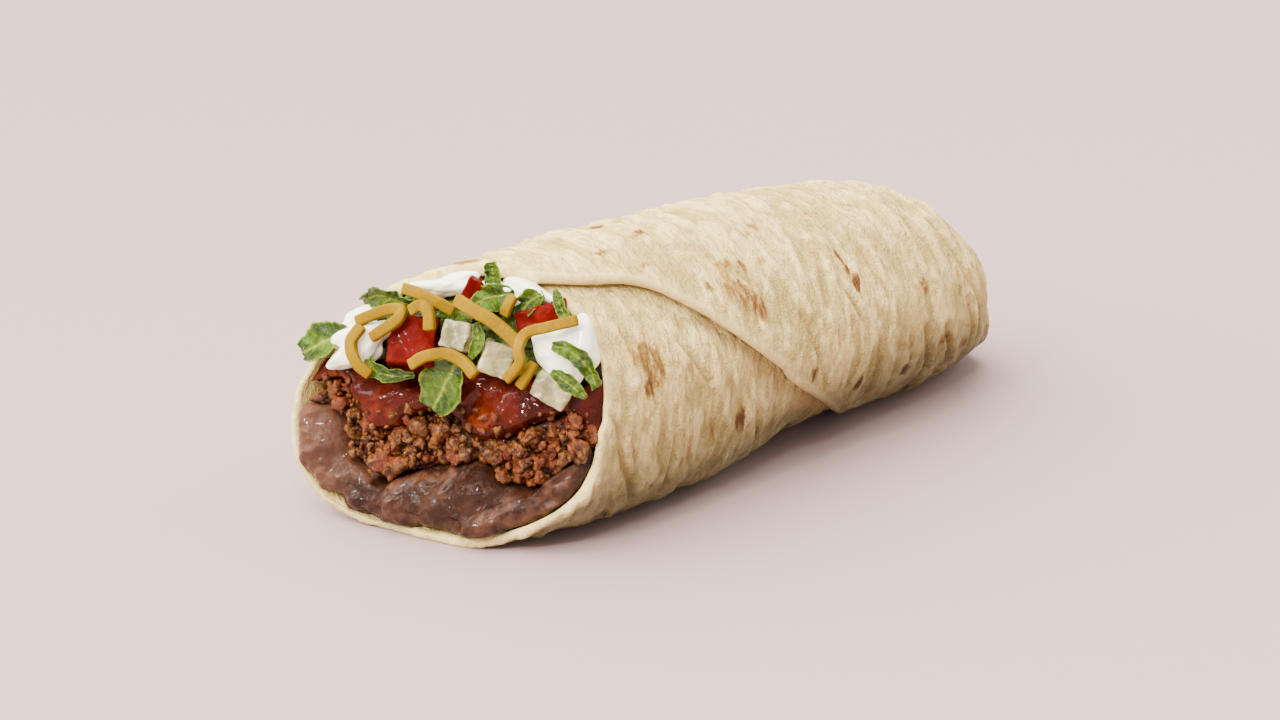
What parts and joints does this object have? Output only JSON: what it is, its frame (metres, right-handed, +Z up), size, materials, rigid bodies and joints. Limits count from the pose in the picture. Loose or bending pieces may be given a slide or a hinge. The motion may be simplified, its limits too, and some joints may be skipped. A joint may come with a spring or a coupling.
{
  "type": "burrito",
  "caption": "Rolled flour tortilla burrito with a slanted open end showing layers of beans, minced beef, red sauce and fresh toppings, and a folded closed tail.",
  "frame": {"origin": "on the floor, in the middle of the flat strip under the roll that it rests on", "axes": "+X along the roll from its open mouth to its closed tail, +Y to the side that the lower part of the slanted mouth reaches furthest on, +Z up"},
  "size_m": [0.1589, 0.0582, 0.0513],
  "materials": {
    "tortilla": "soft floury matt with toasted spots",
    "beans": "moist smooth paste",
    "beef": "moist rough crumbs",
    "sauce": "wet gloss",
    "lettuce": "waxy leaf",
    "tomato": "wet gloss",
    "onion": "wet and slightly clear",
    "cheese": "satin",
    "cream": "smooth satin"
  },
  "bodies": {
    "root": {"tortilla": "tortilla", "refried_beans": "beans", "ground_beef": "beef", "red_sauce": "sauce", "lettuce_bed": "lettuce", "tomato_1": "tomato", "tomato_2": "tomato", "tomato_3": "tomato", "onion_1": "onion", "onion_2": "onion", "onion_3": "onion", "sour_cream_1": "cream", "sour_cream_2": "cream", "sour_cream_3": "cream", "sour_cream_4": "cream", "sour_cream_5": "cream", "cheese_1": "cheese", "cheese_2": "cheese", "cheese_3": "cheese", "cheese_4": "cheese", "cheese_5": "cheese", "cheese_6": "cheese", "cheese_7": "cheese", "cheese_8": "cheese", "cheese_9": "cheese", "leaf_1": "lettuce", "leaf_2": "lettuce", "leaf_3": "lettuce", "leaf_4": "lettuce", "leaf_5": "lettuce", "leaf_6": "lettuce", "leaf_7": "lettuce", "leaf_8": "lettuce", "leaf_9": "lettuce", "leaf_10": "lettuce", "leaf_11": "lettuce", "leaf_12": "lettuce", "leaf_13": "lettuce"}
  },
  "joints": []
}
